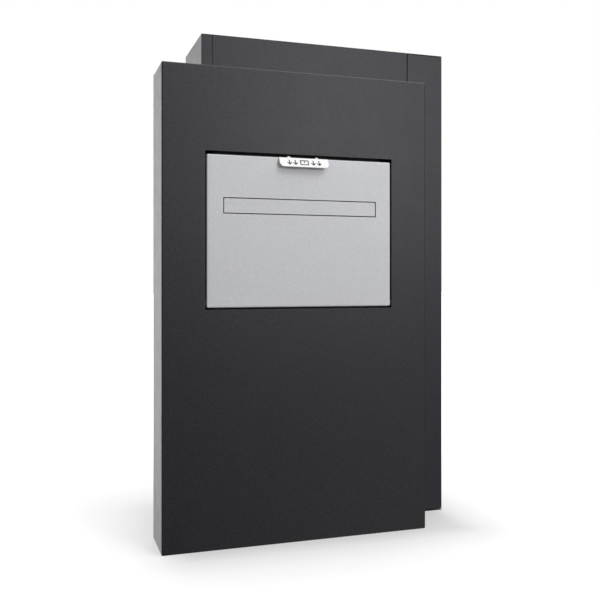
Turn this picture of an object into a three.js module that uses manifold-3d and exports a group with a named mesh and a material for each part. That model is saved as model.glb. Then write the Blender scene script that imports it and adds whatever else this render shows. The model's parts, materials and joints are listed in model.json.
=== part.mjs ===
// A wall mounted mailbox for parcels and letters, in powder-coated steel sheet.
//
// A front housing carries a bottom-hinged parcel hatch with a letter flap in it. Behind the hatch a tipping
// hopper drops the post into a rear cabinet, which stands further right and higher than the housing.
// An L-shaped side door in the cabinet's right-hand corner, with a cam lock, gives the post out.
//
// Millimetres, +Z up. The design frame used below has X from the housing's left side, Y from its face
// towards the wall and Z from the floor. The exported group moves it so that the origin is at the bottom
// centre of the whole object.

import * as THREE from "three";
import { mergeVertices } from "three/addons/utils/BufferGeometryUtils.js";
import Module from "manifold-3d";

const wasm = await Module();
wasm.setup();

// ---------------------------------------------------------------- driving dimensions

const FACE_SHEET = 2; // front housing and hatch
const SHEET = 1.5; // everything else that is folded
const FIT = 0.3; // assembly gap between two pieces that touch
const FACE_FOLD = 2.8; // outside radius of a fold in FACE_SHEET
const FOLD = 2; // the same in SHEET, where the fold shows
const ROUND = 28; // segments of a small round

const housing = { width: 590, height: 1000, depth: 120 };
const cabinet = { left: 105, width: 590, height: 1100, depth: 200 };
cabinet.right = cabinet.left + cabinet.width;
cabinet.front = housing.depth;
cabinet.back = housing.depth + cabinet.depth;

// The hatch stands a little right of the housing's middle.
const hatch = { centre: housing.width / 2 + 3, width: 411, bottom: 500, height: 317 };
hatch.left = hatch.centre - hatch.width / 2;
hatch.right = hatch.centre + hatch.width / 2;
hatch.top = hatch.bottom + hatch.height;
hatch.returnDepth = 20; // folded edges of the hatch, behind its face
const HATCH_OPEN = 50; // degrees, to the buffers

const hatchGap = { side: 3, bottom: 3.5, top: 7 };
const opening = {
  left: hatch.left - hatchGap.side,
  right: hatch.right + hatchGap.side,
  bottom: hatch.bottom - hatchGap.bottom,
  top: hatch.top + hatchGap.top,
};

// Letter slot in the hatch, and the flap that fills it.
const slot = { centre: hatch.centre, width: 342, bottom: 695, height: 34 };
slot.left = slot.centre - slot.width / 2;
slot.right = slot.centre + slot.width / 2;
slot.top = slot.bottom + slot.height;
const FLAP_GAP = 2;
const flapAxis = { y: 5.6, z: slot.top - 4 };

// Hatch pivots, and the passage for parcels from the housing into the cabinet.
const hatchAxis = { y: 11, z: hatch.bottom + 8 };
const PIVOT_R = 3;
const BUSH = { bore: PIVOT_R + FIT, outer: 5, hole: 5 + FIT, flange: 6.2 };
const hopper = { slope: 40, length: 285, cheekRadius: 238, cheekInset: 16.5 };
hopper.left = hatch.left + hopper.cheekInset; // outer faces of the two cheeks
hopper.right = hatch.right - hopper.cheekInset;
const passage = { left: hopper.left - 1.8, right: hopper.right + 1.8, bottom: 404, top: opening.top + 14 };

// Seams in the cabinet's front face, and the side door right of the second one.
const seam = { width: 2.2, left: 128.8, right: 602.6 };
const door = {
  edge: seam.right + seam.width / 2, // free edge of its front return
  rear: cabinet.back - 20.5,
  bottom: 3.8,
  top: cabinet.height - 2.8,
  flange: 10.7,
};
const doorAxis = { x: door.edge + 7, y: cabinet.front + 4 };
const DOOR_PIN_R = 2;

const lock = { y: cabinet.back - 48, z: 560, barrel: 9.5, core: 6, bezel: 12.5 };
const KEY_REACH = 27; // from the side door's outer face to the end of the key's bow

// The tab sits in a shallow recess in the hatch's top edge, so that its top is flush.
const tab = { centre: hatch.centre + 3, width: 109, reach: 14, drop: 20.4, corner: 10, fold: 3.5 };
tab.left = tab.centre - tab.width / 2;
tab.right = tab.centre + tab.width / 2;
tab.seat = hatch.top - SHEET; // underside of the tab's level leg
const RIVET_R = 2;
const TAB_RIVETS = [tab.centre - 31.2, tab.centre + 31.2];
const tabRivetY = 5.2;

// ---------------------------------------------------------------- colours

const paint = (color, roughness, metalness) =>
  new THREE.MeshStandardMaterial({ color, roughness, metalness });
const anthracite = paint(0x3c3d40, 0.5, 0.0);
const silver = paint(0xbcbec1, 0.45, 0.3);
const white = paint(0xf2f2f0, 0.35, 0.0);
const zinc = paint(0xb4b8bc, 0.4, 0.9);
const steel = paint(0xc9ccd0, 0.25, 1.0);
const rubber = paint(0x1b1b1c, 0.9, 0.0);
const nylon = paint(0xe6e4dc, 0.6, 0.0);

// ---------------------------------------------------------------- solids

function solid(geometry) {
  const bare = geometry.index ? geometry.toNonIndexed() : geometry.clone();
  bare.deleteAttribute("normal");
  bare.deleteAttribute("uv");
  const merged = mergeVertices(bare, 1e-4);
  return new wasm.Manifold(
    new wasm.Mesh({
      numProp: 3,
      vertProperties: merged.attributes.position.array,
      triVerts: new Uint32Array(merged.index.array),
    }),
  );
}

function geometryOf(manifold) {
  const mesh = manifold.simplify(0.01).getMesh();
  const geometry = new THREE.BufferGeometry();
  geometry.setAttribute("position", new THREE.BufferAttribute(mesh.vertProperties, 3));
  geometry.setIndex(new THREE.BufferAttribute(mesh.triVerts, 1));
  geometry.computeVertexNormals();
  return geometry;
}

// A box between two values on each axis, given as [low, high].
function plate(x, y, z) {
  const box = new THREE.BoxGeometry(x[1] - x[0], y[1] - y[0], z[1] - z[0]);
  return solid(box.translate((x[0] + x[1]) / 2, (y[0] + y[1]) / 2, (z[0] + z[1]) / 2));
}

const join = (...parts) => parts.reduce((whole, part) => whole.add(part));
const cut = (body, ...tools) => tools.reduce((left, tool) => left.subtract(tool), body);

// A round bar along "x", "y" or "z". at holds its two other coordinates in X, Y, Z order.
function bar(axis, at, radius, span, segments = ROUND) {
  const rod = new THREE.CylinderGeometry(radius, radius, span[1] - span[0], segments);
  rod.translate(0, (span[0] + span[1]) / 2, 0);
  if (axis === "x") rod.rotateZ(-Math.PI / 2).translate(0, at[0], at[1]);
  if (axis === "y") rod.translate(at[0], 0, at[1]);
  if (axis === "z") rod.rotateX(Math.PI / 2).translate(at[0], at[1], 0);
  return solid(rod);
}

// A profile of [y, z] points, or a THREE.Shape in that plane, extruded along X.
function profile(outline, x) {
  const shape = Array.isArray(outline)
    ? new THREE.Shape(outline.map(([y, z]) => new THREE.Vector2(y, z)))
    : outline;
  const extruded = new THREE.ExtrudeGeometry(shape, {
    depth: x[1] - x[0],
    bevelEnabled: false,
    curveSegments: ROUND,
  });
  // Shape x, y and depth become Y, Z and X.
  const turn = new THREE.Matrix4().set(0, 0, 1, x[0], 1, 0, 0, 0, 0, 1, 0, 0, 0, 0, 0, 1);
  return solid(extruded.applyMatrix4(turn));
}

// A block whose front edges, and the four edges running back from its corners, have a radius.
function pressedBlock(x, y, z, radius) {
  const steps = 6;
  const outline = [new THREE.Vector2(0, y[0])];
  for (let i = 1; i <= steps; i += 1) {
    const angle = (i * Math.PI) / 2 / steps;
    outline.push(new THREE.Vector2(radius * Math.sin(angle), y[0] + radius * (1 - Math.cos(angle))));
  }
  outline.push(new THREE.Vector2(radius, y[1]), new THREE.Vector2(0, y[1]));
  const pin = solid(new THREE.LatheGeometry(outline, 4 * steps));
  const corners = [x[0] + radius, x[1] - radius].flatMap((cx) =>
    [z[0] + radius, z[1] - radius].map((cz) => pin.translate([cx, 0, cz])),
  );
  return wasm.Manifold.hull(corners);
}

// What rounds off an upright fold: the square at its outer corner, less the round about the fold's centre.
function foldRelief(corner, centre, z) {
  const reach = (i) => {
    const outer = corner[i] + Math.sign(corner[i] - centre[i]);
    return [Math.min(outer, centre[i]), Math.max(outer, centre[i])];
  };
  const radius = Math.abs(corner[0] - centre[0]);
  return cut(
    plate(reach(0), reach(1), [z[0] - 1, z[1] + 1]),
    bar("z", centre, radius, [z[0] - 2, z[1] + 2], 32),
  );
}

const mirrorX = (manifold) =>
  manifold.translate([-hatch.centre, 0, 0]).mirror([1, 0, 0]).translate([hatch.centre, 0, 0]);

const group = new THREE.Group();

function add(name, manifold, material) {
  const mesh = new THREE.Mesh(geometryOf(manifold), material);
  mesh.name = name;
  group.add(mesh);
}

// A piece and its twin on the other side of the hatch's middle.
function addPair(name, manifold, material) {
  add(name + "_left", manifold, material);
  add(name + "_right", mirrorX(manifold), material);
}

// ---------------------------------------------------------------- front housing

const housingBack = [housing.depth - FIT - SHEET, housing.depth - FIT];
const innerDepth = [FACE_SHEET + FIT, housingBack[0] - FIT];

function housingShell() {
  const w = housing.width;
  const h = housing.height;
  const t = FACE_SHEET;
  const folded = cut(
    pressedBlock([0, w], [0, innerDepth[1]], [0, h], FACE_FOLD),
    plate([t, w - t], [t, innerDepth[1] + 1], [t, h - t]),
    plate([opening.left, opening.right], [-1, t + 1], [opening.bottom, opening.top]),
  );
  const drains = [150, 440].map((x) => bar("z", [x, 70], 4, [-1, FACE_SHEET + 1]));
  return cut(folded, ...drains);
}

const joiningBolts = [
  { x: 165, z: 70 },
  { x: 560, z: 70 },
  { x: 165, z: 930 },
  { x: 560, z: 930 },
];
const BOLT_R = 3;
const boltHole = ({ x, z }) => bar("y", [x, z], BOLT_R + FIT, [housing.depth - 5, housing.depth + 5]);

function housingBackPlate() {
  const sheet = plate([0, housing.width], housingBack, [0, housing.height]);
  const window = plate(
    [passage.left, passage.right],
    [housing.depth - 5, housing.depth + 5],
    [passage.bottom, passage.top],
  );
  return cut(sheet, window, ...joiningBolts.map(boltHole));
}

// Folded jamb beside the hatch: wall of the passage, stop flange for the hatch, two fixing flanges.
const jamb = {
  wall: [opening.left - 6, opening.left - 4],
  z: [passage.bottom - 12, passage.top],
  fixing: 14,
  stopY: hatch.returnDepth + 2,
};

function jambLeft() {
  const [outer, inner] = jamb.wall;
  const fixing = [outer - jamb.fixing, outer];
  const folded = join(
    plate(jamb.wall, innerDepth, jamb.z),
    plate(fixing, [innerDepth[0], innerDepth[0] + SHEET], jamb.z),
    plate(fixing, [innerDepth[1] - SHEET, innerDepth[1]], jamb.z),
    plate([inner, inner + jamb.fixing], [jamb.stopY, jamb.stopY + SHEET], [520, 808]),
  );
  return cut(folded, bar("x", [hatchAxis.y, hatchAxis.z], PIVOT_R + FIT, [outer - 20, inner + 1]));
}

// Shoulder pin: a flat head outside the jamb, the shaft reaching through the hatch's side return.
function pivotLeft() {
  const at = [hatchAxis.y, hatchAxis.z];
  const [outer, inner] = jamb.wall;
  return join(
    bar("x", at, PIVOT_R, [outer - FIT - 1, hatch.left + 5]),
    bar("x", at, 5.5, [outer - FIT - 2.5, outer - FIT]),
    bar("x", at, 5.5, [inner + FIT, inner + FIT + 2.5]),
  );
}

const headRail = { z: opening.top + 4, stop: hatch.top - 22 };

function headRailPiece() {
  const x = [jamb.wall[1] + FIT, 2 * hatch.centre - jamb.wall[1] - FIT];
  const [front, rear] = innerDepth;
  const top = headRail.z + jamb.fixing;
  const channel = profile(
    [
      [front, headRail.z], [rear, headRail.z], [rear, top], [rear - SHEET, top],
      [rear - SHEET, headRail.z + SHEET], [front + SHEET, headRail.z + SHEET],
      [front + SHEET, top], [front, top],
    ],
    x,
  );
  const stop = plate([x[0] + 24, x[1] - 24], [jamb.stopY, jamb.stopY + SHEET], [headRail.stop, headRail.z + 0.5]);
  return join(channel, stop);
}

const sill = { top: hatch.bottom - 14, depth: 20, skirt: 22 };

function sillPiece() {
  const x = [jamb.wall[1] + FIT, 2 * hatch.centre - jamb.wall[1] - FIT];
  return join(
    plate(x, [innerDepth[0], sill.depth], [sill.top - SHEET, sill.top]),
    plate(x, [innerDepth[0], innerDepth[0] + SHEET], [sill.top - sill.skirt, sill.top]),
  );
}

// Sloping plate that closes the housing under the hopper, from the sill to the passage's lower edge.
function chuteGuide() {
  const slope = Math.tan((hopper.slope * Math.PI) / 180);
  const startY = sill.depth;
  const endY = innerDepth[1] - SHEET;
  const topZ = sill.top - SHEET - FIT;
  const endZ = topZ - (endY - startY) * slope;
  const upright = SHEET / Math.cos((hopper.slope * Math.PI) / 180); // the sheet's thickness along Z
  const lowZ = passage.bottom - 11;
  return profile(
    [
      [innerDepth[0] + SHEET + FIT, topZ - SHEET],
      [startY, topZ - SHEET],
      [endY, endZ - upright],
      [endY, lowZ],
      [endY + SHEET, lowZ],
      [endY + SHEET, endZ],
      [endY, endZ],
      [startY, topZ],
      [innerDepth[0] + SHEET + FIT, topZ],
    ],
    [jamb.wall[1] + 2, 2 * hatch.centre - jamb.wall[1] - 2],
  );
}

// Disc magnet on the head rail's stop flange, facing the hatch's top lip.
const magnetLeft = () =>
  bar("y", [hatch.centre - 118, hatch.top - 12], 8, [jamb.stopY - 1.7, jamb.stopY - FIT]);

// ---------------------------------------------------------------- hatch and hopper

function hatchPanel() {
  const { left, right, bottom, top, returnDepth } = hatch;
  const tray = cut(
    pressedBlock([left, right], [0, returnDepth], [bottom, top], FACE_FOLD),
    plate([left + SHEET, right - SHEET], [FACE_SHEET, returnDepth + 1], [bottom + SHEET, top - SHEET]),
    plate([left - 1, right + 1], [returnDepth - 2, returnDepth + 1], [bottom - 1, bottom + SHEET]),
    plate([slot.left, slot.right], [-1, FACE_SHEET + 1], [slot.bottom, slot.top]),
  );
  const folded = join(
    tray,
    plate([left + 17, right - 17], [returnDepth - SHEET, returnDepth], [top - 20, top - SHEET / 2]),
  );
  const recessTop = tab.seat - FIT;
  const pressed = join(
    cut(folded, plate([tab.left - FIT, tab.right + FIT], [-1, returnDepth + 1], [recessTop, top + 1])),
    plate([tab.left - 2, tab.right + 2], [0, returnDepth], [recessTop - SHEET, recessTop]),
  );
  const pivotHole = bar("x", [hatchAxis.y, hatchAxis.z], BUSH.hole, [left - 1, right + 1]);
  const rivetHole = (x) => bar("z", [x, tabRivetY], RIVET_R + FIT, [top - 8, top + 5]);
  return cut(pressed, pivotHole, ...TAB_RIVETS.map(rivetHole));
}

// Flanged nylon bush in the hatch's side return, turning on the pivot pin.
function bushLeft() {
  const at = [hatchAxis.y, hatchAxis.z];
  const inside = hatch.left + SHEET;
  return cut(
    join(bar("x", at, BUSH.outer, [hatch.left, inside + 2]), bar("x", at, BUSH.flange, [inside + FIT, inside + 2])),
    bar("x", at, BUSH.bore, [hatch.left - 1, inside + 3]),
  );
}

// Points on a ray from the hatch's pivot axis, at an angle above the horizontal, pointing to the wall.
function fromHatchAxis(distance, degrees) {
  const angle = (degrees * Math.PI) / 180;
  return [hatchAxis.y + distance * Math.cos(angle), hatchAxis.z + distance * Math.sin(angle)];
}

function hopperFloor() {
  const half = SHEET / 2;
  const start = 16;
  const hem = 10;
  const x = [hopper.left + SHEET + FIT, hopper.right - SHEET - FIT];
  const sideFold = (low) => plate([low, low + SHEET], [start + 10, hopper.cheekRadius - 8], [-half, hem]);
  // Drawn along the ray with the hem folded down at its end, then turned to the slope.
  const flat = profile(
    [
      [start, -half],
      [hopper.length - SHEET, -half],
      [hopper.length - SHEET, -half - hem],
      [hopper.length, -half - hem],
      [hopper.length, half],
      [start, half],
    ],
    x,
  );
  const folded = join(flat, sideFold(x[0]), sideFold(x[1] - SHEET));
  return folded.rotate([-hopper.slope, 0, 0]).translate([0, hatchAxis.y, hatchAxis.z]);
}

// Sector-shaped side of the hopper, with a flange along its front edge against the hatch.
function cheekLeft() {
  const R = hopper.cheekRadius;
  const frontY = FACE_SHEET + FIT;
  const topZ = Math.sqrt(R * R - (hatchAxis.y - frontY) ** 2);
  const lowest = -hopper.slope - 1;
  const outline = new THREE.Shape();
  outline.moveTo(frontY, hatchAxis.z - 6);
  outline.lineTo(hatchAxis.y + 10, hatchAxis.z - 6);
  outline.lineTo(...fromHatchAxis(R, lowest));
  const from = (lowest * Math.PI) / 180;
  const to = Math.atan2(topZ, frontY - hatchAxis.y);
  outline.absarc(hatchAxis.y, hatchAxis.z, R, from, to, false);
  outline.lineTo(frontY, hatchAxis.z - 6);
  const sheet = profile(outline, [hopper.left, hopper.left + SHEET]);
  const flangeX = [hopper.left - 10, hopper.left + SHEET];
  return join(sheet, plate(flangeX, [frontY, frontY + SHEET], [hatchAxis.z + 12, hatchAxis.z + 225]));
}

// Rubber buffer on the cheek's outer side, which meets the jamb's stop flange when the hatch is open.
const buffer = { radius: 6, distance: 115 };
buffer.openY = jamb.stopY + SHEET + buffer.radius + 0.5;
buffer.openAngle = (Math.acos((buffer.openY - hatchAxis.y) / buffer.distance) * 180) / Math.PI;

function bufferLeft() {
  const at = fromHatchAxis(buffer.distance, buffer.openAngle - HATCH_OPEN);
  return bar("x", at, buffer.radius, [hatch.left, hopper.left - FIT]);
}

// ---------------------------------------------------------------- pull tab

// The level leg lies in the hatch's top recess. The other leg is folded down and out over the face.
function pullTab() {
  const { seat } = tab;
  const top = seat + SHEET;
  const bendY = -SHEET - 0.5; // where the outer faces of the two legs would meet
  const foot = [-tab.reach, top - tab.drop];
  const turn = Math.atan2(tab.drop, bendY - foot[0]);
  const outward = [-Math.sin(turn), Math.cos(turn)];
  const inside = tab.fold - SHEET;
  const bend = [bendY + tab.fold * Math.tan(turn / 2), top - tab.fold];
  const inner = [foot[0] - outward[0] * SHEET, foot[1] - outward[1] * SHEET];
  const side = [tab.left, tab.right];
  const section = new THREE.Shape()
    .moveTo(15, seat)
    .lineTo(15, top)
    .lineTo(bend[0], top)
    .absarc(...bend, tab.fold, Math.PI / 2, Math.PI / 2 + turn, false)
    .lineTo(...foot)
    .lineTo(...inner)
    .lineTo(bend[0] + outward[0] * inside, bend[1] + outward[1] * inside)
    .absarc(...bend, inside, Math.PI / 2 + turn, Math.PI / 2, true);
  const folded = profile(section, side);
  const low = inner[1];
  const deep = [-tab.reach - 5, -SHEET];
  const roundCorner = (edge, centre) =>
    cut(
      plate([Math.min(edge, centre), Math.max(edge, centre)], deep, [low - 1, low + tab.corner]),
      bar("y", [centre, low + tab.corner], tab.corner, [deep[0] - 1, deep[1] + 1], 48),
    );
  const holes = TAB_RIVETS.map((x) => bar("z", [x, tabRivetY], RIVET_R + FIT, [seat - 1, top + 1]));
  return cut(
    folded,
    roundCorner(side[0] - 1, side[0] + tab.corner),
    roundCorner(side[1] + 1, side[1] - tab.corner),
    ...holes,
  );
}

// Domed rivet through the tab's level leg and the hatch's top return.
function tabRivet(x) {
  const top = tab.seat + SHEET;
  const dome = [[0, 0], [4, 0], [3.9, 1.3], [3.2, 2.5], [1.7, 3.4], [0, 3.6]];
  const head = new THREE.LatheGeometry(dome.map(([r, h]) => new THREE.Vector2(r, h)), ROUND);
  head.rotateX(Math.PI / 2).translate(x, tabRivetY, top + FIT / 2);
  const under = tab.seat - FIT - SHEET; // underside of the pressed recess
  const shank = bar("z", [x, tabRivetY], RIVET_R, [under - 1.2, top + 1]);
  const tail = bar("z", [x, tabRivetY], 2.7, [under - 2, under - FIT]);
  return join(solid(head), shank, tail);
}

// ---------------------------------------------------------------- letter flap

const ROD_R = 1.5;
const ROD_FIT = ROD_R + FIT;

function letterFlap() {
  const x = [slot.left + FLAP_GAP, slot.right - FLAP_GAP];
  const low = slot.bottom + FLAP_GAP;
  const back = 0.2 + SHEET;
  const ear = (from) =>
    join(
      bar("x", [flapAxis.y, flapAxis.z], 4, [from, from + SHEET]),
      plate([from, from + SHEET], [back - 0.5, flapAxis.y], [flapAxis.z - 4, flapAxis.z]),
    );
  const body = join(
    plate(x, [0.2, back], [low, slot.top - FLAP_GAP]),
    plate(x, [0.2, 5], [low, low + 1.2]),
    ...[slot.left + 8, slot.centre - SHEET / 2, slot.right - 8 - SHEET].map(ear),
  );
  return cut(body, bar("x", [flapAxis.y, flapAxis.z], ROD_FIT, [slot.left - 1, slot.right + 1]));
}

const flapRod = () => bar("x", [flapAxis.y, flapAxis.z], ROD_R, [slot.left - 7, slot.right + 7]);

function flapBracketLeft() {
  const z = [flapAxis.z - 6, flapAxis.z + 6];
  const leg = [slot.left - 5, slot.left - 3.8];
  const folded = join(
    plate(leg, [FACE_SHEET + FIT, 10.5], z),
    plate([leg[0] - 8, leg[1]], [FACE_SHEET + FIT, FACE_SHEET + FIT + 1.2], z),
  );
  return cut(folded, bar("x", [flapAxis.y, flapAxis.z], ROD_FIT, [leg[0] - 2, leg[1] + 1]));
}

// Torsion spring round the rod, with a leg down the flap's back.
function flapSpring() {
  const wire = 0.45;
  const turns = 6;
  const coil = ROD_FIT + wire + 0.15;
  const startX = slot.left + 8 + SHEET + 1;
  const pitch = 1.5;
  class Path extends THREE.Curve {
    getPoint(t, target = new THREE.Vector3()) {
      const wound = 0.88;
      if (t <= wound) {
        const angle = (t / wound) * turns * 2 * Math.PI + Math.PI;
        const x = startX + (t / wound) * turns * pitch;
        return target.set(x, flapAxis.y + coil * Math.cos(angle), flapAxis.z + coil * Math.sin(angle));
      }
      const drop = ((t - wound) / (1 - wound)) * 14;
      return target.set(startX + turns * pitch, flapAxis.y - coil, flapAxis.z - drop);
    }
  }
  const section = new THREE.Shape().absarc(0, 0, wire, 0, 2 * Math.PI, false);
  const tube = { steps: 110, bevelEnabled: false, extrudePath: new Path(), curveSegments: 3 };
  return solid(new THREE.ExtrudeGeometry(section, tube));
}

// Bent sheet behind the slot: letters drop under it, a hand cannot reach over it.
function letterGuard() {
  const front = FACE_SHEET + FIT;
  const z = slot.top + 13;
  return profile(
    [
      [front, z], [46, z], [60, z - 42], [61.5, z - 42], [47.5, z + SHEET],
      [front + SHEET, z + SHEET], [front + SHEET, z + 18], [front, z + 18],
    ],
    [slot.left - 6, slot.right + 6],
  );
}

// ---------------------------------------------------------------- cabinet

const upright = [SHEET + FIT, cabinet.height - SHEET - FIT]; // between floor and roof
const skin = [cabinet.front, cabinet.front + SHEET]; // front face
const behind = [skin[1] + FIT, skin[1] + FIT + SHEET]; // flange just behind the front face
const backSheet = [cabinet.back - SHEET, cabinet.back];
const rearFlange = [backSheet[0] - FIT - SHEET, backSheet[0] - FIT];
const throughPassage = plate(
  [passage.left, passage.right],
  [cabinet.front - 5, behind[1] + 5],
  [passage.bottom, passage.top],
);

// Its front flange steps back at the seam and carries on behind the front panel's edge.
function leftSide() {
  const flangeEnd = seam.left - seam.width / 2;
  const folded = join(
    plate([cabinet.left, cabinet.left + SHEET], [cabinet.front, rearFlange[1]], upright),
    plate([cabinet.left, flangeEnd], skin, upright),
    plate([flangeEnd - SHEET, flangeEnd], [skin[0], behind[1]], upright),
    plate([flangeEnd - SHEET, seam.left + 12], behind, upright),
    plate([cabinet.left, cabinet.left + 20], rearFlange, upright),
  );
  const notch = plate(
    [cabinet.left + SHEET, seam.left + 20],
    [cabinet.front - 5, behind[1] + 1],
    [passage.bottom, passage.top],
  );
  const corner = [cabinet.left, cabinet.front];
  return cut(folded, notch, foldRelief(corner, [corner[0] + FOLD, corner[1] + FOLD], upright));
}

function frontPanel() {
  const sheet = plate([seam.left + seam.width / 2, seam.right - seam.width / 2], skin, upright);
  return cut(sheet, throughPassage, ...joiningBolts.map(boltHole));
}

// Stiffens the front panel's free edge, beside the side door.
function frontPost() {
  const right = seam.right - 4.5;
  return join(
    plate([right - 22, right], behind, [upright[0] + 16, upright[1] - 16]),
    plate([right - SHEET, right], [behind[0], behind[0] + 26], [upright[0] + 16, upright[1] - 16]),
  );
}

// Channel in the rear right-hand corner. Its lip is the strike for the lock's cam.
const strikeX = cabinet.right - 15;

function rearPost() {
  const front = door.rear + 1;
  const folded = join(
    plate([cabinet.right - SHEET, cabinet.right], [front, rearFlange[1]], upright),
    plate([strikeX, cabinet.right], [front, front + SHEET], upright),
    plate([strikeX, strikeX + SHEET], [front, front + 13], upright),
    plate([strikeX, cabinet.right], rearFlange, upright),
  );
  return cut(folded, foldRelief([cabinet.right, front], [cabinet.right - FOLD, front + FOLD], upright));
}

const wholeX = [cabinet.left, cabinet.right];
const wholeY = [cabinet.front, cabinet.back];
const flangeX = [cabinet.left + 30, seam.right - 32];
const rearFlangeX = [cabinet.left + 24, cabinet.right - 38];

function cabinetFloor() {
  const folded = join(
    plate(wholeX, wholeY, [0, SHEET]),
    plate(flangeX, [behind[1] + FIT, behind[1] + FIT + SHEET], [0, 14]),
    plate(rearFlangeX, rearFlange, [0, 14]),
  );
  return cut(folded, ...[200, 400, 600].map((x) => bar("z", [x, cabinet.back - 30], 4, [-1, SHEET + 1])));
}

function cabinetRoof() {
  const z = [cabinet.height - 14, cabinet.height];
  return join(
    plate(wholeX, wholeY, [cabinet.height - SHEET, cabinet.height]),
    plate(flangeX, [behind[1] + FIT, behind[1] + FIT + SHEET], z),
    plate(rearFlangeX, rearFlange, z),
  );
}

const wallHoles = { x: [185, 600], z: [150, 950], radius: 4.5 };
const wallHole = (x, z) => bar("y", [x, z], wallHoles.radius, [cabinet.back - 20, cabinet.back + 5]);

function backPanel() {
  const holes = wallHoles.x.flatMap((x) => wallHoles.z.map((z) => wallHole(x, z)));
  return cut(plate(wholeX, backSheet, upright), ...holes);
}

// Channel across the inside of the back panel, carrying two of the four wall screws.
function wallRail(z) {
  const [web, rear, half] = [rearFlange[1] - 7, rearFlange[1], 20];
  const channel = profile(
    [
      [rear, z - half], [web, z - half], [web, z + half], [rear, z + half],
      [rear, z + half - SHEET], [web + SHEET, z + half - SHEET],
      [web + SHEET, z - half + SHEET], [rear, z - half + SHEET],
    ],
    [cabinet.left + 24, cabinet.right - 38],
  );
  return cut(channel, ...wallHoles.x.map((x) => wallHole(x, z)));
}

const floorMat = () =>
  plate([cabinet.left + 8, flangeX[1]], [behind[1] + 4, rearFlange[0] - 2], [SHEET + FIT, 4.8]);

const joiningBolt = ({ x, z }) =>
  join(
    bar("y", [x, z], BOLT_R, [housingBack[0] - 4, behind[1] + 9]),
    bar("y", [x, z], 5.6, [housingBack[0] - FIT - 4, housingBack[0] - FIT], 6),
  );

// Hexagon nut behind the cabinet's front panel.
const joiningNut = ({ x, z }) =>
  cut(
    bar("y", [x, z], 5.6, [skin[1] + FIT, skin[1] + FIT + 5], 6),
    bar("y", [x, z], BOLT_R + FIT, [skin[1] - 1, skin[1] + 8]),
  );

// ---------------------------------------------------------------- side door

const doorSkin = [cabinet.right - SHEET, cabinet.right];

// Front return, side face, rear fold, and a fold along the top and the bottom.
function doorPanel() {
  const z = [door.bottom, door.top];
  const rim = (zEdge) =>
    join(
      plate([door.edge, cabinet.right], [cabinet.front, cabinet.front + door.flange], zEdge),
      plate([cabinet.right - door.flange, cabinet.right], [cabinet.front, door.rear], zEdge),
    );
  const folded = join(
    plate([door.edge, cabinet.right], skin, z),
    plate(doorSkin, [cabinet.front, door.rear], z),
    plate([cabinet.right - door.flange, cabinet.right], [door.rear - SHEET, door.rear], z),
    rim([door.bottom, door.bottom + SHEET]),
    rim([door.top - SHEET, door.top]),
  );
  const foldX = cabinet.right - FOLD;
  return cut(
    folded,
    foldRelief([cabinet.right, cabinet.front], [foldX, cabinet.front + FOLD], z),
    foldRelief([cabinet.right, door.rear], [foldX, door.rear - FOLD], z),
    bar("z", [doorAxis.x, doorAxis.y], DOOR_PIN_R + FIT, [-5, cabinet.height + 5]),
    bar("x", [lock.y, lock.z], lock.barrel + FIT, [cabinet.right - 5, cabinet.right + 5]),
  );
}

// Upright channel inside the side face.
function doorStiffener() {
  const x = [doorSkin[0] - FIT - 7, doorSkin[0] - FIT];
  const y = [cabinet.front + 75, cabinet.front + 105];
  const z = [door.bottom + 25, door.top - 25];
  return join(
    plate([x[0], x[0] + SHEET], y, z),
    plate(x, [y[0], y[0] + SHEET], z),
    plate(x, [y[1] - SHEET, y[1]], z),
  );
}

const doorPinBottom = () =>
  join(
    bar("z", [doorAxis.x, doorAxis.y], DOOR_PIN_R, [upright[0], door.bottom + 7]),
    bar("z", [doorAxis.x, doorAxis.y], 3.5, [upright[0], upright[0] + 0.9]),
  );

const doorPinTop = () =>
  join(
    bar("z", [doorAxis.x, doorAxis.y], DOOR_PIN_R, [door.top - 7, upright[1]]),
    bar("z", [doorAxis.x, doorAxis.y], 3.5, [upright[1] - 0.6, upright[1]]),
  );

const doorWasher = () =>
  cut(
    bar("z", [doorAxis.x, doorAxis.y], 3.7, [upright[0] + 1.1, door.bottom - 0.2]),
    bar("z", [doorAxis.x, doorAxis.y], DOOR_PIN_R + FIT, [0, door.bottom + 1]),
  );

// ---------------------------------------------------------------- cam lock

const lockAt = [lock.y, lock.z];
const camX = [strikeX - 4.5, strikeX - 1.5];
const barrelBack = camX[1] + FIT;

const lockHousing = () =>
  cut(
    join(
      bar("x", lockAt, lock.barrel, [barrelBack, cabinet.right + 1], 36),
      bar("x", lockAt, lock.bezel, [cabinet.right + FIT, cabinet.right + 2.5], 48),
    ),
    bar("x", lockAt, lock.core + FIT, [barrelBack - 1, cabinet.right + 5], 36),
  );

const lockNut = () =>
  cut(
    bar("x", lockAt, 13, [doorSkin[0] - FIT - 4, doorSkin[0] - FIT], 6),
    bar("x", lockAt, lock.barrel + FIT, [doorSkin[0] - 10, cabinet.right], 36),
  );

function lockCore() {
  const square = [-3.5, 3.5];
  const face = cabinet.right + 2.9;
  const turned = join(
    bar("x", lockAt, lock.core, [barrelBack, face], 36),
    plate([camX[0] - FIT, barrelBack + 1], square.map((d) => lock.y + d), square.map((d) => lock.z + d)),
  );
  const keyway = plate([face - 12, face + 1], [lock.y - 1.4, lock.y + 1.4], [lock.z - 3.6, lock.z + 3.6]);
  return cut(turned, keyway, bar("x", lockAt, 2.3, [camX[0] - 2, camX[0] + 9]));
}

// Flat cam, hanging down when the lock is open.
function lockCam() {
  const arm = plate(camX, [lock.y - 8, lock.y + 8], [lock.z - 38, lock.z]);
  const hole = plate(
    [camX[0] - 1, camX[1] + 1],
    [lock.y - 3.8, lock.y + 3.8],
    [lock.z - 3.8, lock.z + 3.8],
  );
  return cut(join(arm, bar("x", lockAt, 8, camX)), hole);
}

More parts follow.
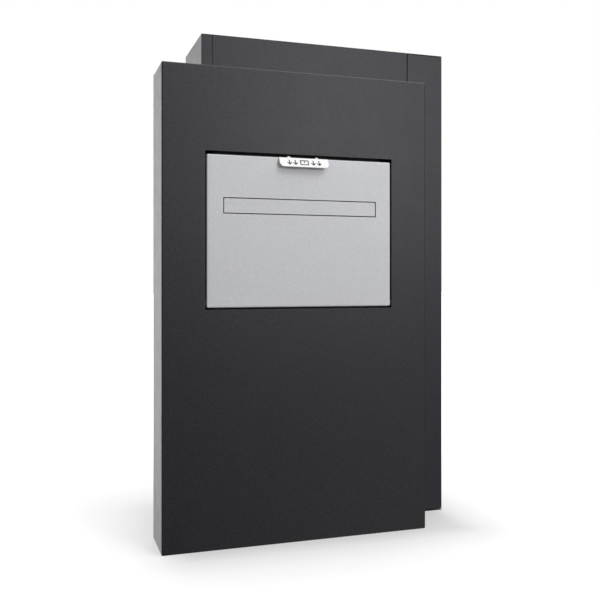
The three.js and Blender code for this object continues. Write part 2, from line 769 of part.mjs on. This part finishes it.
const camScrew = () =>
  join(
    bar("x", lockAt, 2, [camX[0] - 2 * FIT - 1, camX[0] + 8]),
    bar("x", lockAt, 5.5, [camX[0] - 2 * FIT - 2.6, camX[0] - 2 * FIT]),
  );

function lockKey() {
  const end = cabinet.right + KEY_REACH;
  const thick = [lock.y - 1.1, lock.y + 1.1];
  return cut(
    join(
      plate([cabinet.right - 8, end - 16], thick, [lock.z - 3.2, lock.z + 3.2]),
      bar("y", [end - 10.5, lock.z], 10.5, thick, 48),
    ),
    bar("y", [end - 5.5, lock.z], 2.6, [thick[0] - 1, thick[1] + 1]),
  );
}

// ---------------------------------------------------------------- assembly

const [jambWall, sealY] = [jamb.wall[1], [hatch.returnDepth + FIT, jamb.stopY - FIT]];

add("housing_shell", housingShell(), anthracite);
add("housing_back", housingBackPlate(), anthracite);
addPair("hatch_jamb", jambLeft(), anthracite);
add("head_rail", headRailPiece(), anthracite);
add("hatch_sill", sillPiece(), anthracite);
add("chute_guide", chuteGuide(), zinc);
addPair("pivot_pin", pivotLeft(), steel);
addPair("hatch_seal", plate([jambWall + 4, jambWall + 13], sealY, [524, 790]), rubber);
addPair("hatch_magnet", magnetLeft(), steel);

joiningBolts.forEach((place, i) => {
  add(`joining_bolt_${i + 1}`, joiningBolt(place), zinc);
  add(`joining_nut_${i + 1}`, joiningNut(place), zinc);
});

add("cabinet_left_side", leftSide(), anthracite);
add("cabinet_front", frontPanel(), anthracite);
add("cabinet_front_post", frontPost(), anthracite);
add("cabinet_rear_post", rearPost(), anthracite);
add("cabinet_roof", cabinetRoof(), anthracite);
add("cabinet_floor", cabinetFloor(), anthracite);
add("cabinet_back", backPanel(), anthracite);
add("wall_rail_lower", wallRail(wallHoles.z[0]), zinc);
add("wall_rail_upper", wallRail(wallHoles.z[1]), zinc);
add("floor_mat", floorMat(), rubber);

add("hatch_panel", hatchPanel(), silver);
addPair("pivot_bush", bushLeft(), nylon);
add("hopper_floor", hopperFloor(), zinc);
addPair("hopper_cheek", cheekLeft(), zinc);
addPair("hatch_buffer", bufferLeft(), rubber);
add("pull_tab", pullTab(), white);
add("tab_rivet_left", tabRivet(TAB_RIVETS[0]), white);
add("tab_rivet_right", tabRivet(TAB_RIVETS[1]), white);
add("letter_guard", letterGuard(), zinc);
addPair("flap_bracket", flapBracketLeft(), zinc);
add("flap_rod", flapRod(), steel);
add("letter_flap", letterFlap(), silver);
add("flap_spring", flapSpring(), steel);

add("side_door", doorPanel(), anthracite);
add("door_stiffener", doorStiffener(), anthracite);
add("door_pin_top", doorPinTop(), steel);
add("door_pin_bottom", doorPinBottom(), steel);
add("door_washer", doorWasher(), nylon);
add("lock_housing", lockHousing(), steel);
add("lock_nut", lockNut(), zinc);
add("lock_core", lockCore(), steel);
add("lock_cam", lockCam(), zinc);
add("lock_cam_screw", camScrew(), zinc);
add("lock_key", lockKey(), steel);

// Origin at the bottom, in the middle of the width and depth of the two boxes.
for (const mesh of group.children) {
  mesh.geometry.translate(-cabinet.right / 2, -cabinet.back / 2, 0);
}

export default group;
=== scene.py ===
"""A wall mounted parcel and letter mailbox in powder-coated steel, on a plain studio floor.

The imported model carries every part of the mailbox. Here each part gets its edge bevels and its finish,
and the printed sign on the pull tab and the studio round the object are added.
"""

import json
import math

import bmesh
import bpy
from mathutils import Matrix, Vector


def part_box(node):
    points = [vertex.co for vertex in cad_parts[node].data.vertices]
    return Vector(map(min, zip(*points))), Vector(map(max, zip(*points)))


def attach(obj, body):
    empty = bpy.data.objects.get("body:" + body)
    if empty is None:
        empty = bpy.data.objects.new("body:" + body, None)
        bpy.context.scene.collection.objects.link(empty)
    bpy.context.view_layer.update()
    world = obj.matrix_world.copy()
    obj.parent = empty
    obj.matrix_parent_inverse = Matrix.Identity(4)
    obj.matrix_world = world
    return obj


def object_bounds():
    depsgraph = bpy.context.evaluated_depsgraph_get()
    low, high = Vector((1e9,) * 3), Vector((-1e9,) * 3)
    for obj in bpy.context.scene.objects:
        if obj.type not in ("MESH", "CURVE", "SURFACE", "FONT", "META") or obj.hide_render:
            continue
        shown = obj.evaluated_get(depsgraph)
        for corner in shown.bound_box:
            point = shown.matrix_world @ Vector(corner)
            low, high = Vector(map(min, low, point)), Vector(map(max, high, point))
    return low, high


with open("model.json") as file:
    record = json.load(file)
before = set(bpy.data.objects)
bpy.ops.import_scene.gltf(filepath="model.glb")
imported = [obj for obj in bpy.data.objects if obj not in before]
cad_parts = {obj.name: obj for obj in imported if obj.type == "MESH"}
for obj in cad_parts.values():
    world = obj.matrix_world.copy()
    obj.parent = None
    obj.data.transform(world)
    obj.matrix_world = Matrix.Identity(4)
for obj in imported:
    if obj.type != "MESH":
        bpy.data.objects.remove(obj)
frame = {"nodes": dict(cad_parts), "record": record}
CAD_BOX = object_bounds()
MM = 0.001

scene = bpy.context.scene
nodes = frame["nodes"]

# ---------------------------------------------------------------- camera

# The camera looks level from the front left. A view shift in place of a tilt keeps the uprights parallel.
EYE = (-0.5839, -1.7827, 0.5596)
TURN = -18.09  # degrees about the vertical, from straight ahead
LENS = 48.09  # millimetres, on a sensor 36 mm wide
SHIFT = -0.035


def add_camera():
    data = bpy.data.cameras.new("camera")
    data.lens = LENS
    data.sensor_width = 36.0
    data.shift_y = SHIFT
    data.clip_start = 0.05
    camera = bpy.data.objects.new("camera", data)
    camera.location = EYE
    camera.rotation_euler = (math.radians(90.0), 0.0, math.radians(TURN))
    scene.collection.objects.link(camera)
    scene.camera = camera


add_camera()

# ---------------------------------------------------------------- node-tree helpers


class Tree:
    """Short-hand for building a material's nodes.

    Textures use object coordinates, so their scales count per metre.
    """

    def __init__(self, name):
        self.material = bpy.data.materials.new(name)
        self.material.use_nodes = True
        self.tree = self.material.node_tree
        self.shader = self.tree.nodes["Principled BSDF"]
        self.coords = self.tree.nodes.new("ShaderNodeTexCoord").outputs["Object"]

    def node(self, kind, **values):
        """A new node. Each value goes to the socket of that name, or else to the node's own setting."""
        made = self.tree.nodes.new("ShaderNode" + kind)
        for key, value in values.items():
            if key in made.inputs:
                made.inputs[key].default_value = value
            else:
                setattr(made, key, value)
        return made

    def link(self, source, target):
        self.tree.links.new(source, target)

    def stretched(self, scale):
        """Object coordinates scaled by a factor along each axis, for streaks."""
        mapping = self.node("Mapping")
        mapping.inputs["Scale"].default_value = scale
        self.link(self.coords, mapping.inputs["Vector"])
        return mapping.outputs["Vector"]

    def noise(self, scale, detail=2.0, roughness=0.5, vector=None):
        made = self.node("TexNoise", Scale=scale, Detail=detail, Roughness=roughness)
        self.link(vector or self.coords, made.inputs["Vector"])
        return made.outputs["Fac"]

    def ramp(self, source, stops):
        """A colour ramp with the given (place, colour) stops."""
        made = self.node("ValToRGB")
        elements = made.color_ramp.elements
        while len(elements) < len(stops):
            elements.new(0.5)
        for element, (place, colour) in zip(elements, stops):
            element.position = place
            element.color = colour if len(colour) == 4 else (*colour, 1.0)
        self.link(source, made.inputs["Fac"])
        return made.outputs["Color"]

    def span(self, source, low, high, start=0.3, end=0.7):
        """Spreads a value between start and end, where most noise lies, over low to high."""
        made = self.node("MapRange")
        made.inputs["From Min"].default_value = start
        made.inputs["From Max"].default_value = end
        made.inputs["To Min"].default_value = low
        made.inputs["To Max"].default_value = high
        self.link(source, made.inputs["Value"])
        return made.outputs["Result"]

    def mix(self, factor, a, b, kind="MIX"):
        made = self.node("Mix", data_type="RGBA", blend_type=kind)
        for socket, value in ((0, factor), (6, a), (7, b)):
            if isinstance(value, (tuple, list)):
                made.inputs[socket].default_value = value if len(value) == 4 else (*value, 1.0)
            elif isinstance(value, float):
                made.inputs[socket].default_value = value
            else:
                self.link(value, made.inputs[socket])
        return made.outputs[2]

    def bump(self, height, strength, distance, normal=None):
        made = self.node("Bump", Strength=strength, Distance=distance)
        self.link(height, made.inputs["Height"])
        if normal:
            self.link(normal, made.inputs["Normal"])
        return made.outputs["Normal"]

    def surface(self, **sockets):
        names = {"colour": "Base Color", "rough": "Roughness", "metal": "Metallic", "normal": "Normal"}
        for key, value in sockets.items():
            target = self.shader.inputs[names.get(key, key)]
            if isinstance(value, bpy.types.NodeSocket):
                self.link(value, target)
            elif isinstance(value, (tuple, list)):
                target.default_value = value if len(value) == 4 else (*value, 1.0)
            else:
                target.default_value = value
        return self.material


# ---------------------------------------------------------------- materials


def powder_coat(name, colour, tint, rough, grain, contrast, sheen=(1.0, 1.0, 1.0), metal=0.0, fleck=0.0):
    """Fine-texture powder coat: cured grains, a slow drift from colour to tint, and uneven gloss.

    grain is the depth of its relief, contrast the difference in tone between grains, sheen the tint of its
    reflections, and fleck the brightness of metal flakes in it.
    """
    t = Tree(name)
    drift = t.noise(4.0, 4.0, 0.6)
    mottle = t.noise(230.0, 3.0, 0.62)
    fine = t.noise(900.0, 2.0, 0.6)
    base = t.mix(t.span(drift, 0.0, 1.0), colour, tint)
    shades = [(0.34, (1.0 - contrast,) * 3), (0.5, (1.0, 1.0, 1.0)), (0.66, (1.0 + contrast,) * 3)]
    base = t.mix(1.0, base, t.ramp(mottle, shades), "MULTIPLY")
    base = t.mix(0.6, base, t.ramp(fine, shades), "MULTIPLY")
    if fleck:
        flakes = t.node("TexVoronoi", Scale=1500.0)
        t.link(t.coords, flakes.inputs["Vector"])
        spark = t.ramp(flakes.outputs["Color"], [(0.55, (0, 0, 0)), (0.95, (fleck, fleck, fleck))])
        base = t.mix(1.0, base, spark, "ADD")
    orange_peel = t.noise(240.0, 2.0, 0.5)
    waves = t.noise(7.0, 1.0, 0.4)
    normal = t.bump(waves, 0.04, 2.0 * MM)
    normal = t.bump(orange_peel, grain, 0.25 * MM, normal)
    normal = t.bump(fine, grain * 1.6, 0.12 * MM, normal)
    return t.surface(
        colour=base,
        rough=t.span(t.noise(35.0, 4.0, 0.6), *rough),
        metal=metal,
        normal=normal,
        **{"Specular Tint": sheen},
    )


def zinc_plate(name):
    """Galvanised sheet: soft spangle patches over faint rolling lines."""
    t = Tree(name)
    cells = t.node("TexVoronoi", Scale=130.0, feature="SMOOTH_F1")
    t.link(t.coords, cells.inputs["Vector"])
    rolled = t.noise(60.0, 3.0, 0.6, t.stretched((0.2, 9.0, 9.0)))
    colour = t.ramp(cells.outputs["Color"], [(0.2, (0.43, 0.45, 0.47)), (0.8, (0.62, 0.64, 0.66))])
    colour = t.mix(t.span(rolled, 0.0, 0.35), colour, (0.36, 0.37, 0.39))
    normal = t.bump(rolled, 0.12, 0.1 * MM)
    return t.surface(
        colour=colour, rough=t.span(cells.outputs["Distance"], 0.32, 0.52, 0.0, 0.6), metal=0.9, normal=normal
    )


def turned_steel(name, colour, rough):
    """Bright metal with fine turning rings and a few dull patches."""
    t = Tree(name)
    rings = t.noise(900.0, 2.0, 0.5, t.stretched((1.0, 0.15, 0.15)))
    stain = t.noise(160.0, 3.0, 0.6)
    dull = tuple(c * 0.8 for c in colour)
    return t.surface(
        colour=t.mix(t.span(stain, 0.0, 1.0), colour, dull),
        rough=t.span(rings, *rough),
        metal=1.0,
        normal=t.bump(rings, 0.15, 0.04 * MM),
    )


def rubber(name):
    """Black rubber with pores and a film of dust."""
    t = Tree(name)
    dust = t.noise(70.0, 5.0, 0.65)
    pores = t.noise(1400.0, 2.0, 0.6)
    return t.surface(
        colour=t.mix(t.span(dust, 0.0, 1.0), (0.012, 0.012, 0.013), (0.032, 0.031, 0.03)),
        rough=t.span(dust, 0.7, 0.9),
        normal=t.bump(pores, 0.3, 0.1 * MM),
    )


def nylon(name):
    """Natural moulded nylon, faintly cloudy and translucent."""
    t = Tree(name)
    cloud = t.noise(90.0, 3.0, 0.5)
    material = t.surface(
        colour=t.mix(t.span(cloud, 0.0, 1.0), (0.80, 0.79, 0.75), (0.72, 0.70, 0.65)),
        rough=t.span(cloud, 0.42, 0.58),
        normal=t.bump(t.noise(700.0), 0.12, 0.05 * MM),
    )
    t.shader.inputs["Subsurface Weight"].default_value = 0.08
    t.shader.inputs["Subsurface Scale"].default_value = 0.002
    return material


# What the anthracite coats of the housing and the cabinet have in common.
ANTHRACITE = {"rough": (0.395, 0.435), "grain": 0.3, "contrast": 0.4}

LOOKS = {
    "anthracite_coat": powder_coat(
        "anthracite_coat", (0.0115, 0.0115, 0.0143), (0.0135, 0.0135, 0.0168),
        sheen=(0.965, 0.97, 1.0), **ANTHRACITE,
    ),
    "silver_coat": powder_coat(
        "silver_coat", (0.564, 0.569, 0.591), (0.589, 0.594, 0.615),
        rough=(0.41, 0.46), grain=0.1, contrast=0.05, metal=0.1, fleck=0.05,
    ),
    "white_coat": powder_coat(
        "white_coat", (0.88, 0.88, 0.88), (0.86, 0.86, 0.855), rough=(0.3, 0.42), grain=0.05, contrast=0.03,
    ),
    "zinc_plate": zinc_plate("zinc_plate"),
    "bright_steel": turned_steel("bright_steel", (0.62, 0.63, 0.65), (0.18, 0.34)),
    "lock_chrome": turned_steel("lock_chrome", (0.78, 0.79, 0.80), (0.06, 0.14)),
    "black_rubber": rubber("black_rubber"),
    "white_nylon": nylon("white_nylon"),
}

# The cabinet's coat is a slightly bluer batch than the housing's.
CABINET_COAT = powder_coat(
    "cabinet_coat", (0.0124, 0.0124, 0.0172), (0.0144, 0.0144, 0.0197),
    sheen=(0.955, 0.960, 1.0), **ANTHRACITE,
)
CABINET_PREFIXES = ("cabinet_", "side_door", "door_")

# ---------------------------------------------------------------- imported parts: edges and finishes

SLOT_OF = {row["node"]: row["material_slot"] for row in frame["record"]["subparts"]}

# Width of the bevel on a part's sharp edges, in millimetres. Folded sheet is rounder than turned or punched
# pieces.
BEVELS = {
    "housing_shell": 1.1,
    "hatch_panel": 1.0,
    "side_door": 0.7,
    "cabinet_left_side": 0.7,
    "cabinet_front": 0.5,
    "cabinet_roof": 0.6,
    "cabinet_floor": 0.6,
    "cabinet_back": 0.5,
    "cabinet_rear_post": 0.6,
    "pull_tab": 0.45,
    "lock_key": 0.35,
    "lock_housing": 0.5,
    "lock_core": 0.3,
}
SMALL_BEVEL = 0.25
SHARP_ANGLE = 40.0  # degrees from which an edge is sharp
FLAT_ANGLE = 0.6  # degrees up to which two faces are one flat face
WELD_DISTANCE = 0.02  # millimetres within which two corners are one

# Parts with round faces, which are shaded smooth.
ROUND_PARTS = {
    "lock_key",
    "lock_housing",
    "lock_core",
    "lock_cam_screw",
    "flap_rod",
    "flap_spring",
    "door_washer",
    "floor_mat",
}
ROUND_PREFIXES = ("pivot_", "door_pin", "tab_rivet", "hatch_magnet", "hatch_buffer")


def finish_node(name, obj):
    """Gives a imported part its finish, its edge bevels, and flat or smooth shading."""
    slot = SLOT_OF[name]
    on_cabinet = slot == "anthracite_coat" and name.startswith(CABINET_PREFIXES)
    obj.data.materials.clear()
    obj.data.materials.append(CABINET_COAT if on_cabinet else LOOKS[slot])
    weld = obj.modifiers.new("weld", "WELD")
    weld.merge_threshold = WELD_DISTANCE * MM
    flats = obj.modifiers.new("flats", "DECIMATE")
    flats.decimate_type = "DISSOLVE"
    flats.angle_limit = math.radians(FLAT_ANGLE)
    rounded = name in ROUND_PARTS or name.startswith(ROUND_PREFIXES)
    if name != "flap_spring":
        bevel = obj.modifiers.new("bevel", "BEVEL")
        bevel.width = BEVELS.get(name, SMALL_BEVEL) * MM
        bevel.segments = 3
        bevel.limit_method = "ANGLE"
        bevel.angle_limit = math.radians(SHARP_ANGLE)
        bevel.use_clamp_overlap = True
    obj.data.polygons.foreach_set("use_smooth", [rounded] * len(obj.data.polygons))
    if rounded:
        weighted = obj.modifiers.new("weighted", "WEIGHTED_NORMAL")
        weighted.keep_sharp = True
        weighted.weight = 90


for node_name, node_object in nodes.items():
    finish_node(node_name, node_object)

# ---------------------------------------------------------------- printed sign on the pull tab


def ink(name):
    """Screen-printed black ink, a little worn."""
    t = Tree(name)
    worn = t.noise(1100.0, 3.0, 0.6)
    return t.surface(
        colour=t.mix(t.span(worn, 0.0, 1.0, 0.45, 0.75), (0.012, 0.012, 0.013), (0.045, 0.045, 0.046)),
        rough=t.span(worn, 0.45, 0.6),
    )


def stroke(points, width, closed=False):
    """The quads of a line through points, each a list of four corners."""
    quads = []
    ends = list(zip(points, points[1:] + (points[:1] if closed else [])))
    for a, b in ends:
        along = (Vector(b) - Vector(a)).normalized() * width / 2
        side = Vector((-along.y, along.x))
        a, b = Vector(a) - along, Vector(b) + along
        quads.append([a + side, a - side, b - side, b + side])
    return quads


# The outer face of the tab's sloping leg runs this far out and down, in millimetres, from its fold's corner.
TAB_LEAN = 12.0
TAB_DROP = 20.4

# The sign's sizes in millimetres: a parcel between four downward arrows.
LINE = 2.3
HALF_HEIGHT = 5.2
HALF_PARCEL = 8.4
TAPE_END = 0.6
ARROWS = (-33.0, -20.0, 20.0, 33.0)
HEAD_REACH = 3.9
HEAD_TOP = -0.9
SIGN_DROP = 0.6  # how far the sign sits below the leg's middle
INK_FACES = (0.02, 0.07)  # heights of the ink's two faces over the leg


def sign_marks():
    """The quads of the sign, x across the tab and y up its sloping leg."""
    wide, tall = HALF_PARCEL, HALF_HEIGHT
    marks = stroke([(-wide, -tall), (wide, -tall), (wide, tall), (-wide, tall)], LINE, closed=True)
    marks += stroke([(0.0, tall), (0.0, TAPE_END)], LINE)
    for x in ARROWS:
        marks += stroke([(x, tall), (x, -tall)], LINE)
        marks += stroke([(x - HEAD_REACH, HEAD_TOP), (x, -tall), (x + HEAD_REACH, HEAD_TOP)], LINE)
    return marks


def tab_sign():
    """Prints the sign on the tab's sloping leg, as thin closed slabs of ink."""
    low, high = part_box("pull_tab")
    top = Vector((0.0, low.y + TAB_LEAN * MM, high.z))
    foot = Vector((0.0, low.y, high.z - TAB_DROP * MM))
    up = (top - foot).normalized()
    out = Vector((1.0, 0.0, 0.0)).cross(up)
    centre = (top + foot) / 2 - up * SIGN_DROP * MM + Vector(((low.x + high.x) / 2, 0.0, 0.0))
    build = bmesh.new()
    for quad in sign_marks():
        flat = [centre + Vector((p.x * MM, 0.0, 0.0)) + up * p.y * MM for p in quad]
        under, over = ([build.verts.new(p + out * lift * MM) for p in flat] for lift in INK_FACES)
        build.faces.new(over)
        build.faces.new(list(reversed(under)))
        for i in range(4):
            j = (i + 1) % 4
            build.faces.new([under[i], under[j], over[j], over[i]])
    bmesh.ops.recalc_face_normals(build, faces=build.faces)
    mesh = bpy.data.meshes.new("tab_sign")
    build.to_mesh(mesh)
    build.free()
    mesh.materials.append(ink("sign_ink"))
    sign = bpy.data.objects.new("tab_sign", mesh)
    scene.collection.objects.link(sign)
    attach(sign, "hatch")


tab_sign()

# ---------------------------------------------------------------- studio

FLOOR_REACH = 30.0  # half the floor's width, in metres
FLOOR_LEVEL = -0.0002  # just under the object's foot

# The painted shadow on the floor lies round a rectangle as deep as the object, a little right of the origin.
PAINTED_SHADOW_MIDDLE = 0.02
PAINTED_SHADOW_HALF_WIDTH = 0.30

# How brightly the floor glows at each distance from that rectangle, in metres; the dim glow near it is a
# painted shadow.
PAINTED_SHADOW_GLOW = ((0.0, 0.35), (0.05, 0.49), (0.12, 0.59), (0.26, 0.68), (0.5, 0.85), (1.0, 1.0))


def floor_glow_and_painted_shadow(t):
    """The floor's glow with its painted shadow: dim at the object's foot, and brighter with the distance from
    it.
    """
    low, high = CAD_BOX
    half_depth = (high[1] - low[1]) / 2
    middle = t.node("Mapping")
    middle.inputs["Location"].default_value = (-PAINTED_SHADOW_MIDDLE, -(low[1] + high[1]) / 2, 0.0)
    t.link(t.coords, middle.inputs["Vector"])
    away = middle.outputs["Vector"]
    for operation, value in (
        ("ABSOLUTE", None),
        ("SUBTRACT", (PAINTED_SHADOW_HALF_WIDTH, half_depth, 1.0)),
        ("MAXIMUM", (0.0, 0.0, 0.0)),
        ("LENGTH", None),
    ):
        step = t.node("VectorMath", operation=operation)
        t.link(away, step.inputs[0])
        if value:
            step.inputs[1].default_value = value
        away = step.outputs["Value" if operation == "LENGTH" else "Vector"]
    return t.ramp(t.span(away, 0.0, 1.0, 0.0, 1.0), [(reach, (light,) * 3) for reach, light in PAINTED_SHADOW_GLOW])


def add_floor():
    """A pale floor that brightens away from the object, with a painted shadow round its foot, until it meets
    the white surroundings unseen.
    """
    mesh = bpy.data.meshes.new("studio_floor")
    build = bmesh.new()
    bmesh.ops.create_grid(build, x_segments=8, y_segments=8, size=FLOOR_REACH)
    build.to_mesh(mesh)
    build.free()
    floor = bpy.data.objects.new("studio_floor", mesh)
    floor.location = (0.0, 0.0, FLOOR_LEVEL)
    scene.collection.objects.link(floor)
    t = Tree("studio_floor")
    cloud = t.noise(0.8, 2.0, 0.5)
    mesh.materials.append(
        t.surface(colour=t.mix(t.span(cloud, 0.0, 1.0), (0.37, 0.37, 0.37), (0.36, 0.36, 0.36)), rough=0.75)
    )
    t.shader.inputs["Specular IOR Level"].default_value = 0.2
    # The floor's emission paints its shadow: dim at the object's foot, brighter further off.
    t.shader.inputs["Emission Strength"].default_value = 1.0
    t.link(floor_glow_and_painted_shadow(t), t.shader.inputs["Emission Color"])
    floor.visible_diffuse = False
    floor.visible_glossy = False


# The lights: azimuth to the right of straight ahead, elevation, width in metres, and power in watts.
LIGHTS = (
    ("key", 24.0, 45.0, 1.5, 57.0),
    ("rim", 60.0, 50.0, 2.0, 32.0),
    ("left_key", 10.0, 35.0, 2.5, 18.0),
    ("glow", 20.0, 12.0, 0.9, 29.5),
    ("low_fill", 45.0, 8.0, 1.5, 12.0),
)
LIGHT_DISTANCE = 5.0
LIGHT_TARGET = Vector((0.0, 0.0, 0.6))


def add_light(name, azimuth, elevation, size, watts):
    """A square softbox that faces the object."""
    turn, rise = math.radians(azimuth), math.radians(elevation)
    away = Vector((math.sin(turn) * math.cos(rise), -math.cos(turn) * math.cos(rise), math.sin(rise)))
    data = bpy.data.lights.new(name, "AREA")
    data.shape = "SQUARE"
    data.size = size
    data.energy = watts
    light = bpy.data.objects.new(name, data)
    light.location = LIGHT_TARGET + away * LIGHT_DISTANCE
    light.rotation_euler = away.to_track_quat("Z", "Y").to_euler()
    scene.collection.objects.link(light)


# The light from all round is a sum. Each row adds a strength that changes smoothly along one axis of the
# direction: from start to end, from low to high.
SURROUNDINGS = (
    ("Y", 0.5, 0.98, 0.0, 0.90),
    ("Y", 0.85, 0.995, 0.0, 1.42),
    ("X", 0.0, 0.45, 0.0, 0.64),
    ("X", 0.5, 0.85, 0.0, -0.52),
    ("X", 0.1, -0.8, 0.0, 0.42),
    ("Z", -0.3, 0.45, 0.0, 0.10),
    ("Z", 0.4, 0.95, 0.0, 0.80),
)

# The share of that sum that is left below the horizon, as one more row of the same kind.
BELOW = ("Z", -0.45, 0.0, 0.9, 1.0)


def add_world():
    """White to the camera, with the light from all round as SURROUNDINGS and BELOW say."""
    world = bpy.data.worlds.new("studio")
    world.use_nodes = True
    tree = world.node_tree
    tree.nodes.clear()
    new = tree.nodes.new
    join = tree.links.new
    split = new("ShaderNodeSeparateXYZ")
    join(new("ShaderNodeTexCoord").outputs["Generated"], split.inputs[0])

    def smooth(axis, start, end, low, high):
        made = new("ShaderNodeMapRange")
        made.interpolation_type = "SMOOTHSTEP"
        for name, value in (("From Min", start), ("From Max", end), ("To Min", low), ("To Max", high)):
            made.inputs[name].default_value = value
        join(split.outputs[axis], made.inputs["Value"])
        return made.outputs["Result"]

    def combine(operation, a, b):
        made = new("ShaderNodeMath")
        made.operation = operation
        join(a, made.inputs[0])
        join(b, made.inputs[1])
        return made.outputs[0]

    total = smooth(*SURROUNDINGS[0])
    for row in SURROUNDINGS[1:]:
        total = combine("ADD", total, smooth(*row))
    lit = new("ShaderNodeBackground")
    seen = new("ShaderNodeBackground")
    mixed = new("ShaderNodeMixShader")
    join(combine("MULTIPLY", total, smooth(*BELOW)), lit.inputs["Strength"])
    join(new("ShaderNodeLightPath").outputs["Is Camera Ray"], mixed.inputs["Fac"])
    join(lit.outputs[0], mixed.inputs[1])
    join(seen.outputs[0], mixed.inputs[2])
    join(mixed.outputs[0], new("ShaderNodeOutputWorld").inputs["Surface"])
    lit.inputs["Color"].default_value = (1.0, 1.0, 1.0, 1.0)
    seen.inputs["Color"].default_value = (1.0, 1.0, 1.0, 1.0)
    seen.inputs["Strength"].default_value = 1.0
    scene.world = world


add_floor()
add_world()
for light_row in LIGHTS:
    add_light(*light_row)
scene.view_settings.view_transform = "Standard"
scene.view_settings.look = "None"
